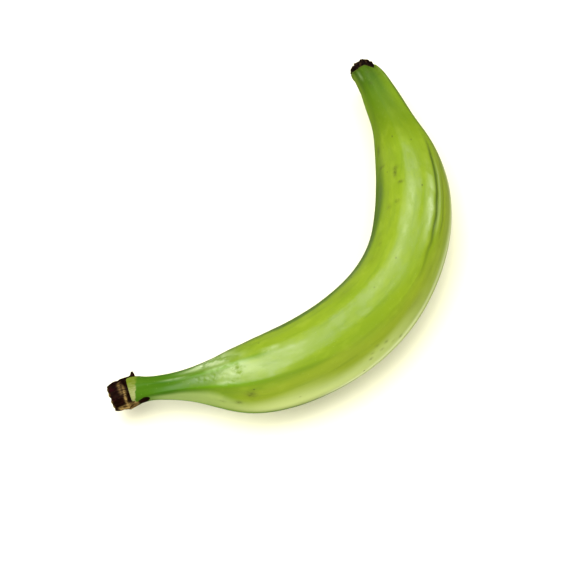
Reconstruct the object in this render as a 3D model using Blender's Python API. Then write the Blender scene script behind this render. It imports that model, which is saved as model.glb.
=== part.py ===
"""A green plantain lying on its side, its bend flat along the surface it rests on.

The whole fruit is one solid: the peel, the neck with the woody stub of the crown it was cut
from, and the withered flower at the other end. It is lofted from closed rings of points that
stand square to a bent centreline. Units are metres, +Z is up. The chord of the bend runs along
+X from the stub to the flower, the outside of the bend faces -Y, and the origin is under the
middle of the fruit's box.
"""
import math

import bmesh
import bpy
from mathutils import Vector

MM = 0.001

# Points round each ring. The ridges below fall on them.
AROUND = 60

# Centreline by distance from the stub's cut face: distance (mm), heading (degrees from +X in
# plan), half width (mm), height of the underside (mm), strength of the ridges.
SPINE = (
    (0, -34, 6.8, 6.5, 0.02),
    (9, -38, 7.4, 6.6, 0.04),
    (13, -43, 7.1, 7.0, 0.05),
    (17, -47, 6.6, 7.7, 0.07),
    (22, -50, 6.15, 8.4, 0.09),
    (32, -52, 6.75, 8.2, 0.10),
    (43.5, -52.5, 9.0, 7.0, 0.10),
    (54.5, -52.5, 12.6, 4.6, 0.085),
    (64.5, -50.5, 16.1, 2.2, 0.06),
    (75.5, -45, 18.8, 0.0, 0.04),
    (88.5, -38, 20.4, -0.5, 0.028),
    (104.5, -29, 21.0, 0.1, 0.022),
    (129.5, -17, 21.1, 0.2, 0.018),
    (154.5, -4.5, 20.8, -0.5, 0.018),
    (184.5, 14.5, 20.5, 0.2, 0.020),
    (209.5, 29, 20.5, 0.1, 0.024),
    (227.5, 38, 19.4, -0.5, 0.030),
    (241.5, 45, 17.4, 0.4, 0.040),
    (253.5, 50, 15.0, 2.4, 0.050),
    (267.5, 54.5, 12.1, 5.2, 0.060),
    (281.5, 57.5, 10.3, 7.2, 0.060),
    (292, 60, 9.4, 8.2, 0.050),
    (298, 61.5, 8.9, 8.7, 0.045),
    (303, 63, 8.0, 9.0, 0.040),
    (310, 64, 7.0, 9.3, 0.030),
)

# Five lengthwise ridges: angle round the fruit from straight up towards the outside of the
# bend (degrees), relative height.
RIDGES = ((-12, 1.0), (36, 1.0), (96, 0.85), (156, 0.7), (264, 0.8))
RIDGE_WIDTH = 14.0

# Woody stub: knife facets round it, as angle (degrees), distance from the axis at the peel
# and at the cut face (mm).
STUB_FACETS = (
    (-160, 7.4, 6.2),
    (-105, 7.9, 6.1),
    (-55, 7.6, 6.9),
    (-5, 7.2, 6.3),
    (50, 7.7, 7.0),
    (105, 8.4, 6.5),
    (155, 7.5, 6.3),
)
STUB_LENGTH = 8.9
GROOVE_DEPTH = 1.3

# A tongue of crown tissue left along the outside of the neck.
TONGUE_ANGLE = 106.0
TONGUE_START = (9.0, 8.4)
TONGUE_END = (19.5, 5.9)
TONGUE_HALF_WIDTH = 125.0

PEEL_START = 10.0
PEEL_END = 302.0

# Withered flower: rings by distance (mm), half width (mm), how ragged the ring is.
FLOWER = (
    (302.9, 7.7, 0.1),
    (303.2, 6.9, 0.3),
    (303.1, 6.4, 0.6),
    (304.4, 7.0, 0.9),
    (305.9, 6.4, 1.0),
    (306.9, 5.3, 1.0),
    (306.8, 3.6, 0.7),
    (306.0, 1.9, 0.3),
)


def eased(column, distance):
    """One column of the SPINE table at a distance, along a smooth curve through its rows."""
    last = len(SPINE) - 1
    row = 0
    while row < last - 1 and distance > SPINE[row + 1][0]:
        row += 1
    start = SPINE[row][0]
    span = SPINE[row + 1][0] - start
    along = min(max((distance - start) / span, 0.0), 1.0)
    first, second = SPINE[row][column], SPINE[row + 1][column]
    rise_in = slope(column, row) * span
    rise_out = slope(column, row + 1) * span
    bend = 2 * (first - second) + rise_in + rise_out
    sway = 3 * (second - first) - 2 * rise_in - rise_out
    return ((bend * along + sway) * along + rise_in) * along + first


def slope(column, row):
    """Slope of the curve at a row: the mean of its neighbours' slopes, by their lengths."""
    low, high = max(row - 1, 0), min(row + 1, len(SPINE) - 1)
    if low == row or high == row:
        return (SPINE[high][column] - SPINE[low][column]) / (SPINE[high][0] - SPINE[low][0])
    before = SPINE[row][0] - SPINE[low][0]
    after = SPINE[high][0] - SPINE[row][0]
    fall = (SPINE[row][column] - SPINE[low][column]) / before
    rise = (SPINE[high][column] - SPINE[row][column]) / after
    return (fall * after + rise * before) / (before + after)


def centreline(step=0.5):
    """Points of the centreline (mm) every step, found by walking along the heading."""
    points = []
    x = y = 0.0
    for count in range(int(SPINE[-1][0] / step) + 1):
        distance = count * step
        points.append((x, y, eased(3, distance) + eased(2, distance)))
        heading = math.radians(eased(1, distance + step / 2))
        x += step * math.cos(heading)
        y += step * math.sin(heading)
    return points


def centre_at(points, distance, step=0.5):
    """A point of the centreline, between its two nearest computed points."""
    place = min(max(distance / step, 0.0), len(points) - 1.001)
    low = int(place)
    return Vector(points[low]).lerp(Vector(points[low + 1]), place - low)


def turn(angle, other):
    """Signed difference of two angles, within half a turn."""
    return (angle - other + 180.0) % 360.0 - 180.0


def ridged(distance, angle):
    """Reach of the peel from the centreline (mm): a round section with five soft ridges."""
    bumps = sum(height * math.exp(-(turn(angle, crest) / RIDGE_WIDTH) ** 2)
                for crest, height in RIDGES)
    return eased(2, distance) * (1.0 + eased(4, distance) * (bumps - 0.3))


def tongue(distance, angle):
    """Reach of the tongue of crown tissue (mm), which sinks into the neck as it runs along."""
    along = (distance - TONGUE_START[0]) / (TONGUE_END[0] - TONGUE_START[0])
    if along > 1.0:
        return 0.0
    crest = TONGUE_START[1] + (TONGUE_END[1] - TONGUE_START[1]) * along
    return crest * (1.0 - (turn(angle, TONGUE_ANGLE) / TONGUE_HALF_WIDTH) ** 2)


def faceted(distance, angle):
    """Reach of the stub (mm): the nearest of its flat facets in this direction."""
    along = min(distance / STUB_LENGTH, 1.0)
    reach = 100.0
    for crest, at_peel, at_cut in STUB_FACETS:
        away = abs(turn(angle, crest))
        if away < 70.0:
            flat = at_cut + (at_peel - at_cut) * along
            reach = min(reach, flat / math.cos(math.radians(away)))
    return reach


def ragged(angle):
    """Lobes of the withered flower, from -1 to 1 round the ring."""
    turned = math.radians(angle)
    return (0.45 * math.sin(2 * turned + 0.7) + 0.35 * math.sin(5 * turned + 0.2)
            + 0.2 * math.sin(9 * turned + 1.1))


def ring(points, distance, reach, lean):
    """Points of one ring (mm) from its reach and its lean along the fruit at each angle."""
    centre = centre_at(points, distance)
    forward = (centre_at(points, distance + 0.5) - centre_at(points, distance - 0.5))
    forward.normalize()
    outside = forward.cross(Vector((0, 0, 1))).normalized()
    upward = outside.cross(forward)
    corners = []
    for count in range(AROUND):
        angle = count * 360.0 / AROUND
        turned = math.radians(angle)
        out = outside * math.sin(turned) + upward * math.cos(turned)
        corner = centre + out * reach(angle) + forward * lean(angle)
        corner.z = max(corner.z, 0.0)
        corners.append(corner)
    return corners


def peel_stations():
    """Distances of the peel's rings: close together at the ends, wider over the belly."""
    stations = [PEEL_START, PEEL_START + 0.6]
    while stations[-1] < PEEL_END:
        nearest = min(stations[-1] - PEEL_START, PEEL_END - stations[-1])
        stations.append(stations[-1] + 1.3 + 5.7 * min(nearest / 70.0, 1.0))
    stations[-1] = PEEL_END
    return stations


def all_rings():
    """Every ring from the cut face to the flower, and the kind of surface that starts there."""
    points = centreline()
    level = lambda angle: 0.0
    rings = []
    for distance in (0.0, 0.5, 4.5, STUB_LENGTH - 0.5, STUB_LENGTH):
        shrink = 0.94 if distance in (0.0, STUB_LENGTH) else 1.0
        cut = lambda angle: shrink * faceted(distance, angle)
        rings.append(("stub", ring(points, distance, cut, level)))
    floor = lambda angle: max(ridged(PEEL_START, angle) - GROOVE_DEPTH, tongue(9.4, angle))
    rings.append(("stub", ring(points, 9.4, floor, level)))
    for distance in peel_stations():
        shrink = 0.95 if distance == PEEL_START else 1.0
        skin = lambda angle: max(shrink * ridged(distance, angle), tongue(distance, angle))
        rim = lambda angle: max(0.0, distance - 294.0) / 8.0 * 0.8 * math.cos(
            math.radians(turn(angle, 105.0)))
        rings.append(("peel", ring(points, distance, skin, rim)))
    for distance, width, raggedness in FLOWER:
        lobe = lambda angle: width * (1.0 + 0.09 * raggedness * ragged(angle))
        frill = lambda angle: (0.8 * math.cos(math.radians(turn(angle, 105.0)))
                               + 0.7 * raggedness * ragged(angle + 100.0))
        rings.append(("flower", ring(points, distance, lobe, frill)))
    return rings


def material(name, colour, roughness):
    """A plain surface of one colour."""
    made = bpy.data.materials.new(name)
    made.use_nodes = True
    made.diffuse_color = (*colour, 1.0)
    shader = made.node_tree.nodes["Principled BSDF"]
    shader.inputs["Base Color"].default_value = (*colour, 1.0)
    shader.inputs["Roughness"].default_value = roughness
    shader.inputs["Metallic"].default_value = 0.0
    return made


def loft(rings, slots):
    """A closed mesh bridged from ring to ring, with a flat face over each end."""
    mesh = bmesh.new()
    before = None
    for kind, corners in rings:
        loop = [mesh.verts.new(corner * MM) for corner in corners]
        edges = [mesh.edges.new((loop[count - 1], loop[count])) for count in range(AROUND)]
        if before is None:
            mesh.faces.new(loop).material_index = slots[kind]
        else:
            made = bmesh.ops.bridge_loops(mesh, edges=before + edges)
            for face in made["faces"]:
                face.material_index = slots[kind]
                face.smooth = True
        before = edges
    mesh.faces.new(loop).material_index = slots[kind]
    bmesh.ops.recalc_face_normals(mesh, faces=mesh.faces)
    return mesh


def build_plantain():
    """The fruit's object, placed with the middle of its box over the origin."""
    slots = {"peel": 0, "stub": 1, "flower": 2}
    rings = all_rings()
    shape = loft(rings, slots)
    mesh = bpy.data.meshes.new("plantain")
    shape.to_mesh(mesh)
    shape.free()
    mesh.materials.append(material("green_peel", (0.27, 0.40, 0.03), 0.42))
    mesh.materials.append(material("crown_wood", (0.035, 0.014, 0.008), 0.7))
    mesh.materials.append(material("dried_flower", (0.012, 0.006, 0.004), 0.8))
    mesh.set_sharp_from_angle(angle=math.radians(40.0))
    plantain = bpy.data.objects.new("plantain", mesh)
    bpy.context.scene.collection.objects.link(plantain)
    across = [corner.x for _, corners in rings for corner in corners]
    deep = [corner.y for _, corners in rings for corner in corners]
    plantain.location.x = -MM * (min(across) + max(across)) / 2
    plantain.location.y = -MM * (min(deep) + max(deep)) / 2
    return plantain


for old in list(bpy.data.objects):
    bpy.data.objects.remove(old, do_unlink=True)
build_plantain()
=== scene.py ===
"""A green plantain lying on its side, with the table, lights and camera round it.

The peel, the cut crown stub, the withered flower and a few loose fibres are surfaces worked out
on grids of two parameters: the distance along the fruit's bent centreline, in millimetres, and
the angle round it, in degrees from straight up towards the outside of the bend.
"""
import math
from collections import namedtuple
from functools import partial

import bpy
import numpy as np
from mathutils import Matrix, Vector


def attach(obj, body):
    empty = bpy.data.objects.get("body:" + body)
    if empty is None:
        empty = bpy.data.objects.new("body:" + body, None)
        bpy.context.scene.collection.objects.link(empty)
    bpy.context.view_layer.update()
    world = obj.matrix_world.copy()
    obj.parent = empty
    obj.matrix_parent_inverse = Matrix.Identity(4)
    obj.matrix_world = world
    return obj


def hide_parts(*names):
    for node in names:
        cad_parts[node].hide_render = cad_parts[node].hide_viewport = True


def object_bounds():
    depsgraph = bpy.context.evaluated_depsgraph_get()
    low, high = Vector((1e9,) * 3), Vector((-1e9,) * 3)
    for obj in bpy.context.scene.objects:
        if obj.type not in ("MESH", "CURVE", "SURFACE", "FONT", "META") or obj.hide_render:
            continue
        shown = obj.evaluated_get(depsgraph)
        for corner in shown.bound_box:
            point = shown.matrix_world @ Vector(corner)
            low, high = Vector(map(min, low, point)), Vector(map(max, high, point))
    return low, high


bl_info = {
    "name": "Green plantain",
    "version": (1, 0, 0),
    "blender": (4, 5, 0),
    "location": "View3D > Sidebar > Plantain",
    "description": "Builds a green plantain with its stub and flower remains",
    "category": "Add Mesh",
}

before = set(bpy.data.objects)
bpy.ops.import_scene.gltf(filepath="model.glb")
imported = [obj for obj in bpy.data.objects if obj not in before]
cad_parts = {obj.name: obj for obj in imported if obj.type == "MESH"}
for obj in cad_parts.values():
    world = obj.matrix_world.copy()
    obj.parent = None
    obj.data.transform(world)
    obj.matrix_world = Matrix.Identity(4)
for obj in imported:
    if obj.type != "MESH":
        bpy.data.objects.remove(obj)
CAD_BOX = [list(corner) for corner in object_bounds()]
NODE = "plantain"
MM = 0.001

# ---------------------------------------------------------------- the fruit's own measures

# Distance along (mm), heading (degrees from +X in plan), half width (mm), height of the
# underside (mm), strength of the ridges.
SPINE = np.array((
    (0, -34, 6.8, 6.5, 0.02),
    (9, -38, 7.4, 6.6, 0.04),
    (13, -43, 7.1, 7, 0.05),
    (17, -47, 6.6, 7.7, 0.07),
    (22, -50, 6.15, 8.4, 0.09),
    (32, -52, 6.75, 8.2, 0.1),
    (43.5, -52.5, 9, 7, 0.1),
    (54.5, -52.5, 12.6, 4.6, 0.085),
    (64.5, -50.5, 16.1, 2.2, 0.06),
    (75.5, -45, 18.8, 0, 0.04),
    (88.5, -38, 20.4, -0.5, 0.028),
    (104.5, -29, 21, 0.1, 0.022),
    (129.5, -17, 21.1, 0.2, 0.018),
    (154.5, -4.5, 20.8, -0.5, 0.018),
    (184.5, 14.5, 20.5, 0.2, 0.02),
    (209.5, 29, 20.5, 0.1, 0.024),
    (227.5, 38, 19.4, -0.5, 0.03),
    (241.5, 45, 17.4, 0.4, 0.04),
    (253.5, 50, 15, 2.4, 0.05),
    (267.5, 54.5, 12.1, 5.2, 0.06),
    (281.5, 57.5, 10.3, 7.2, 0.06),
    (292, 60, 9.4, 8.2, 0.05),
    (298, 61.5, 8.9, 8.7, 0.045),
    (303, 63, 8, 9, 0.04),
    (310, 64, 7, 9.3, 0.03),
))
HEADING, WIDTH, UNDER, RIDGING = 1, 2, 3, 4

# Lengthwise ridges: angle, relative height, how strong the line along its crest is.
RIDGES = ((-12, 1, 0.1), (36, 1, 0.34), (96, 0.85, 0.3), (156, 0.7, 0.25),
          (264, 0.8, 0.25))
RIDGE_WIDTH = 14.0
# The ridge whose line runs on furthest over the belly, by its order there.
LINED_RIDGE = 1

# Two crests that stray: distances (mm) and the angles there, by their order in RIDGES.
WANDER = {
    0: ((20, 32, 43, 57, 75, 91, 120, 190, 225, 300),
        (-2, 0, -4, -6, -11, -10, -11, -14, -16, -14)),
    1: ((20, 28, 36, 44, 58, 92, 120, 190, 215, 240, 254, 300),
        (48, 41, 34, 31, 28, 28, 34, 35, 32, 44, 43, 40)),
}

# Knife facets of the stub: angle, distance from the axis at the peel and at the cut face (mm).
STUB_FACETS = (
    (-160, 7.4, 6.2),
    (-105, 7.9, 6.1),
    (-55, 7.6, 6.9),
    (-5, 7.2, 6.3),
    (50, 7.7, 7),
    (105, 8.4, 6.5),
    (155, 7.5, 6.3),
)
STUB_LENGTH = 8.9
FACET_HARDNESS = 9.0

# Tongue of crown tissue on the neck: its middle's angle, distance and reach (mm) at both ends.
TONGUE_ANGLE = 106.0
TONGUE_FROM = (9.0, 8.4)
TONGUE_TO = (19.5, 5.9)
TONGUE_HALF_WIDTH = 125.0

# Where the peel starts, where its lip is at full height and where it ends (mm), the shallow
# step of the stripped lip, and how far the rolled rim at the tip goes on and in (mm).
PEEL_START = 10.0
LIP_END = 10.6
PEEL_END = 302.0
LIP_STEP = 0.22
RIM_ON = 1.15
RIM_IN = 1.05

# Where the skin starts to lean towards the slanted rim (mm).
LEAN_FROM = 292.0

# Reach of the rings that close the peel in the stub and in the flower, and the stub in the neck
# (mm), and of the cut face's rings as parts of the stub's own reach.
START_RINGS, END_RINGS, STUB_RINGS, CUT_RINGS = (np.array(rings)[:, None] for rings in (
    (0.3, 3.0, 5.8), (5.0, 3.0, 0.3), (3.0, 0.2),
    (0.03, 0.2, 0.36, 0.52, 0.66, 0.78, 0.88, 0.95)))

# Rows of the grids, as runs of from, to and step (mm), finer where more shows.
PEEL_RUNS = ((PEEL_START, LIP_END, 0.15), (LIP_END, 26, 0.34), (26, 40, 0.5), (40, 70, 0.33),
             (70, 250, 1.6), (250, 290, 0.9), (290, PEEL_END, 0.4))
STUB_RUNS = ((0, 0.6, 0.1), (0.6, 7, 0.2), (7, 10.4, 0.14), (10.4, 24, 0.3))

# The plain cap at the tip: from and to (mm), reach half way up its cone (mm), narrowing per mm.
CAP_FROM, CAP_TO, CAP_MIDDLE = 304.4, 306.9, 305.9
CAP_REACH, CAP_NARROWING = 6.4, 0.9


def smooth(low, high, value):
    """0 at low, 1 at high, level beyond them, and an S-shaped way between; low may be the
    larger of the two."""
    part = np.clip((value - low) / (high - low), 0.0, 1.0)
    return part * part * (3.0 - 2.0 * part)


def between(value, low, full, fading, gone):
    """0 at low, 1 from full to fading, and 0 again from gone on."""
    return smooth(low, full, value) * smooth(gone, fading, value)


def bell(centre, width, value):
    """A bell of height 1 round centre, which falls to 0.37 at width."""
    return np.exp(-((value - centre) / width) ** 2)


def turn(angle, other):
    """Signed difference of two angles in degrees, within half a turn."""
    return (angle - other + 180.0) % 360.0 - 180.0


def facing(way, wide, angle):
    """A bell round the fruit: 1 at the angle way, 0.37 at wide degrees from it."""
    return bell(0.0, wide, turn(angle, way))


def lobes(angle, *waves):
    """A sum of sines round the fruit, each with its height, count and shift (radians)."""
    turned = np.radians(angle)
    return sum(height * np.sin(count * turned + shift) for height, count, shift in waves)


def spots(table, distance, angle):
    """A sum of soft spots, each a bell along times a bell round: distance (mm), angle, half
    length (mm), half width (degrees), height."""
    return sum(height * bell(place, length, distance) * facing(way, wide, angle)
               for place, way, length, wide, height in table)


def eased(column, distance):
    """A column of SPINE at each distance: cubic arcs whose slopes follow their neighbours."""
    rows, values = SPINE[:, 0], SPINE[:, column]
    slopes = np.gradient(values, rows)
    low = np.clip(np.searchsorted(rows, distance, side="right") - 1, 0, len(rows) - 2)
    span = rows[low + 1] - rows[low]
    part = np.clip((distance - rows[low]) / span, 0.0, 1.0)
    first, second = values[low], values[low + 1]
    rise_in, rise_out = slopes[low] * span, slopes[low + 1] * span
    bend = 2 * (first - second) + rise_in + rise_out
    sway = 3 * (second - first) - 2 * rise_in - rise_out
    return ((bend * part + sway) * part + rise_in) * part + first


def walked(step=0.5):
    """Centreline points (mm): each step goes on along the heading half way through it."""
    count = int(SPINE[-1, 0] / step) + 1
    distance = np.arange(count) * step
    heading = np.radians(eased(HEADING, distance + step / 2))
    across = np.concatenate(([0.0], np.cumsum(step * np.cos(heading))[:-1]))
    deep = np.concatenate(([0.0], np.cumsum(step * np.sin(heading))[:-1]))
    height = eased(UNDER, distance) + eased(WIDTH, distance)
    return distance, np.stack((across, deep, height), 1)


WALK = walked()


def centre_at(distance):
    """Centreline points at the distances, read between the walked ones."""
    return np.stack([np.interp(distance, WALK[0], WALK[1][:, axis]) for axis in range(3)], -1)


def axes(distance):
    """The centre (mm) and the forward, outside and upward directions at the distances."""
    forward = centre_at(distance + 0.5) - centre_at(distance - 0.5)
    forward /= np.linalg.norm(forward, axis=1, keepdims=True)
    outside = np.cross(forward, (0.0, 0.0, 1.0))
    outside /= np.linalg.norm(outside, axis=1, keepdims=True)
    return centre_at(distance), forward, outside, np.cross(outside, forward)


def placed(distance, angle, reach, lean=0.0):
    """Points (mm) round the centreline: centre + reach * (outside * sin + upward * cos) + lean
    * forward, and never lower than the surface the fruit lies on."""
    centre, forward, outside, upward = (part[:, None] for part in axes(distance))
    turned = np.radians(angle)[None, :, None]
    shape = (len(distance), len(angle))
    reach = np.broadcast_to(reach, shape)[..., None]
    lean = np.broadcast_to(lean, shape)[..., None]
    points = centre + (outside * np.sin(turned) + upward * np.cos(turned)) * reach
    points = points + forward * lean
    points[..., 2] = np.maximum(points[..., 2], 0.0)
    return points


def grid(distance, angle):
    """The two parameters as a grid: distance down the rows, angle along them."""
    return np.meshgrid(distance, angle, indexing="ij")


def spaced(runs):
    """Distances (mm) in runs of (from, to, step), each starting where the last one ended."""
    parts = [np.arange(first, last - step * 0.5, step) for first, last, step in runs]
    return np.concatenate(parts + [[runs[-1][1]]])


def ridged(distance, angle, crests=None):
    """Reach of the peel (mm): a round section with a bell at each ridge."""
    crests = crests or [ridge[0] for ridge in RIDGES]
    bumps = sum(ridge[1] * facing(crest, RIDGE_WIDTH, angle)
                for ridge, crest in zip(RIDGES, crests))
    return eased(WIDTH, distance) * (1.0 + eased(RIDGING, distance) * (bumps - 0.3))


def wandering(distance):
    """Angle of each crest at the distances: two of them stray from their constant angle."""
    return [np.interp(distance, *WANDER[order]) if order in WANDER else ridge[0]
            for order, ridge in enumerate(RIDGES)]


def tongue(distance, angle):
    """Reach of the tongue of crown tissue (mm): a broad bell that sinks into the neck."""
    part = (distance - TONGUE_FROM[0]) / (TONGUE_TO[0] - TONGUE_FROM[0])
    crest = TONGUE_FROM[1] + (TONGUE_TO[1] - TONGUE_FROM[1]) * part
    return crest * (1.0 - (turn(angle, TONGUE_ANGLE) / TONGUE_HALF_WIDTH) ** 2)


def faceted(distance, angle):
    """Reach of the stub (mm): a soft least of its flat facets, from the log of the sum of
    their falling exponentials."""
    part = np.clip(distance / STUB_LENGTH, 0.0, 1.0)
    total = 0.0
    for crest, at_peel, at_cut in STUB_FACETS:
        away = np.radians(np.minimum(np.abs(turn(angle, crest)), 75.0))
        flat = (at_cut + (at_peel - at_cut) * part) / np.cos(away)
        total = total + np.exp(-FACET_HARDNESS * (flat - 7.0))
    return 7.0 - np.log(total) / FACET_HARDNESS


def capped(distance, _):
    """Reach of the plain cap at the tip (mm): a cone."""
    return CAP_REACH - CAP_NARROWING * (distance - CAP_MIDDLE)


def straightened(distance, angle, width=None):
    """The skin as if the fruit were straight: across, up and along, in mm, with no seam."""
    turned = np.radians(angle)
    width = eased(WIDTH, distance) if width is None else width
    return np.stack((width * np.sin(turned), width * np.cos(turned), distance), -1)


def ripple(skin, lengths, seed, waves=7):
    """Waves from about -1 to 1 over the skin: a sum of sines whose lengths (mm) and
    directions are drawn round the three given ones."""
    draw = np.random.default_rng(seed)
    total = 0.0
    for _ in range(waves):
        way = draw.normal(0.0, 1.0, 3)
        way /= np.linalg.norm(way)
        pull = 2 * np.pi * way / np.array(lengths) * draw.uniform(0.8, 1.6)
        total = total + np.sin(skin @ pull + draw.uniform(0.0, 2 * np.pi))
    return total / math.sqrt(waves)


def box_middle():
    """Middle in plan (mm) of the plain fruit's box, before it is placed in the frame."""
    angle = np.arange(0.0, 360.0, 6.0)
    lower, upper = np.full(2, np.inf), np.full(2, -np.inf)
    spans = (
        (np.linspace(0.5, STUB_LENGTH - 0.5, 12), faceted),
        (np.linspace(PEEL_START, PEEL_END, 240), ridged),
        (np.linspace(CAP_FROM, CAP_TO, 6), capped),
    )
    for distance, reach in spans:
        points = placed(distance, angle, reach(*grid(distance, angle)))[..., :2].reshape(-1, 2)
        lower, upper = np.minimum(lower, points.min(0)), np.maximum(upper, points.max(0))
    return (lower + upper) / 2


CAD_MIDDLE = (np.array(CAD_BOX[0][:2]) + np.array(CAD_BOX[1][:2])) / 2 / MM
SHIFT = CAD_MIDDLE - box_middle()


# ---------------------------------------------------------------- meshes

# A closed tube: its points (mm), masks, faces of four and of three corners, and their maps.
Shell = namedtuple("Shell", "places masks quads fans quad_map fan_map")

# The part of a map that each end's fan takes, and the least part of it one shell gets.
MAP_EDGE = 0.01
LEAST_SHARE = 0.03


def corners(*places):
    """Map places of faces, corner by corner, from the two parts of each."""
    return np.stack([np.stack(np.broadcast_arrays(*place), -1) for place in places], -2)


def shell(points, masks):
    """A closed tube from a grid of points: quads between its rings and a fan over each end,
    its masks per point, and a map that unrolls it into one strip."""
    rows, columns = points.shape[:2]
    row, column = grid(np.arange(rows - 1), np.arange(columns))
    after = (column + 1) % columns
    quads = np.stack((row * columns + column, row * columns + after,
                      (row + 1) * columns + after, (row + 1) * columns + column), -1)
    edge = np.arange(columns)
    turned = (edge + 1) % columns
    base, pole = (rows - 1) * columns, np.full(columns, rows * columns)
    fans = np.stack((np.stack((turned, edge, pole), -1),
                     np.stack((base + edge, base + turned, pole + 1), -1)))
    places = np.concatenate((points.reshape(-1, 3), points[:1].mean(1), points[-1:].mean(1)))
    padded = {}
    for key, values in masks.items():
        values = np.broadcast_to(values, points.shape[:2] + np.shape(values)[2:])
        padded[key] = np.concatenate((values.reshape((-1,) + values.shape[2:]),
                                      values[:1].mean(1), values[-1:].mean(1)))
    steps = np.linalg.norm(np.diff(points, axis=0), axis=2).mean(1)
    along = np.concatenate(([0.0], np.cumsum(steps)))
    along = MAP_EDGE + (1.0 - 2.0 * MAP_EDGE) * along / along[-1]
    low, high, half = column / columns, (column + 1) / columns, (edge + 0.5) / columns
    sides = corners((along[row], low), (along[row], high), (along[row + 1], high),
                    (along[row + 1], low))
    ends = (corners((along[0], high[0]), (along[0], low[0]), (0.0, half)),
            corners((along[-1], low[0]), (along[-1], high[0]), (1.0, half)))
    return Shell(places, padded, quads.reshape(-1, 4), fans.reshape(-1, 3),
                 sides.reshape(-1, 4, 2), np.concatenate(ends))


def linked(name, data):
    """A new object with the data, in the scene's own collection."""
    piece = bpy.data.objects.new(name, data)
    bpy.context.scene.collection.objects.link(piece)
    return piece


def made(name, shells, material):
    """One smooth object at the origin from closed shells in mm, which share its map by bands,
    moving with the fruit's body, in place of its plain solid."""
    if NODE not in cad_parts:
        raise RuntimeError(f"the frame has no node named {NODE}")
    counts = np.array([len(part.places) for part in shells])
    starts = np.concatenate(([0], np.cumsum(counts)[:-1]))
    share = np.maximum(counts / counts.sum(), LEAST_SHARE)
    share /= share.sum()
    floor = np.concatenate(([0.0], np.cumsum(share)[:-1]))
    places = np.concatenate([part.places for part in shells])
    places[:, :2] += SHIFT
    quads = np.concatenate([part.quads + start for part, start in zip(shells, starts)])
    fans = np.concatenate([part.fans + start for part, start in zip(shells, starts)])
    bands = [(part, (1.0, high), (0.0, low)) for part, high, low in zip(shells, share, floor)]
    strips = ([part.quad_map * size + corner for part, size, corner in bands]
              + [part.fan_map * size + corner for part, size, corner in bands])
    strips = np.concatenate([strip_map.reshape(-1, 2) for strip_map in strips])
    corners = np.concatenate((quads.ravel(), fans.ravel())).astype(np.int32)
    sizes = np.concatenate((np.full(len(quads), 4), np.full(len(fans), 3)))
    mesh = bpy.data.meshes.new(name)
    mesh.vertices.add(len(places))
    mesh.vertices.foreach_set("co", (places * MM).astype(np.float32).ravel())
    mesh.loops.add(len(corners))
    mesh.loops.foreach_set("vertex_index", corners)
    mesh.polygons.add(len(sizes))
    mesh.polygons.foreach_set("loop_start", (np.cumsum(sizes) - sizes).astype(np.int32))
    mesh.update(calc_edges=True)
    mesh.shade_smooth()
    for key in shells[0].masks:
        values = np.concatenate([part.masks[key] for part in shells]).astype(np.float32)
        vector = values.ndim == 2
        layer = mesh.attributes.new(key, "FLOAT_VECTOR" if vector else "FLOAT", "POINT")
        layer.data.foreach_set("vector" if vector else "value", values.ravel())
    layer = mesh.uv_layers.new(name="OFBake")
    layer.uv.foreach_set("vector", strips.astype(np.float32).ravel())
    mesh.materials.append(material)
    piece = linked(name, mesh)
    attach(piece, "root")
    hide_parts(NODE)
    return piece


# ---------------------------------------------------------------- nodes and materials

# A colour Mix's sockets by their place, and the settings that nodes share.
AMOUNT, BELOW, ABOVE = 0, 6, 7
SOFT = {"interpolation_type": "SMOOTHSTEP"}
MIXED = {"output": 2, "data_type": "RGBA"}
TIMES = {"operation": "MULTIPLY"}


def linear(code):
    """An sRGB hex colour such as 8ea529 as linear red, green, blue and alpha; any other value
    as it is."""
    if not isinstance(code, str):
        return code
    parts = [int(code[place:place + 2], 16) / 255 for place in (0, 2, 4)]
    return tuple(p / 12.92 if p <= 0.04045 else ((p + 0.055) / 1.055) ** 2.4
                 for p in parts) + (1.0,)


def add(tree, kind, inputs=(), output=0, stops=(), **settings):
    """Adds one node and gives back one of its outputs: its inputs by name or in their order,
    each a value, hex colour or link, a ramp's stops (position, colour), its settings. The
    inputs of a Map Range are its value, low and high, and what these two become."""
    node = tree.nodes.new("ShaderNode" + kind)
    for key, value in settings.items():
        setattr(node, key, value)
    for place, (position, code) in enumerate(stops):
        bar = node.color_ramp.elements
        stop = bar[place] if place < 2 else bar.new(position)
        stop.position, stop.color = position, linear(code)
    for socket, value in inputs.items() if isinstance(inputs, dict) else enumerate(inputs):
        if isinstance(value, bpy.types.NodeSocket):
            tree.links.new(value, node.inputs[socket])
        else:
            node.inputs[socket].default_value = linear(value)
    return node.outputs[output]


def blank(name, **values):
    """A new node material with values on its Principled shader: the material, a short way to
    add a node to its tree, and a way to link a source into the shader."""
    material = bpy.data.materials.new(name)
    material.use_nodes = True
    tree = material.node_tree
    shader = tree.nodes["Principled BSDF"]
    for key, value in values.items():
        shader.inputs[key.replace("_", " ")].default_value = value

    def into(key, source):
        tree.links.new(source, shader.inputs[key])
    return material, partial(add, tree), into


def patterns(put, *rows):
    """Patterns on the straightened skin: kind, sizes across, up and along (mm), detail."""
    skin = put("Attribute", output="Vector", attribute_name="skin")
    for kind, sizes, detail in rows:
        place = put("Mapping", {"Vector": skin, "Scale": [1.0 / size for size in sizes]})
        yield put(kind, {"Vector": place, "Scale": 1.0, "Detail": detail})


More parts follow.
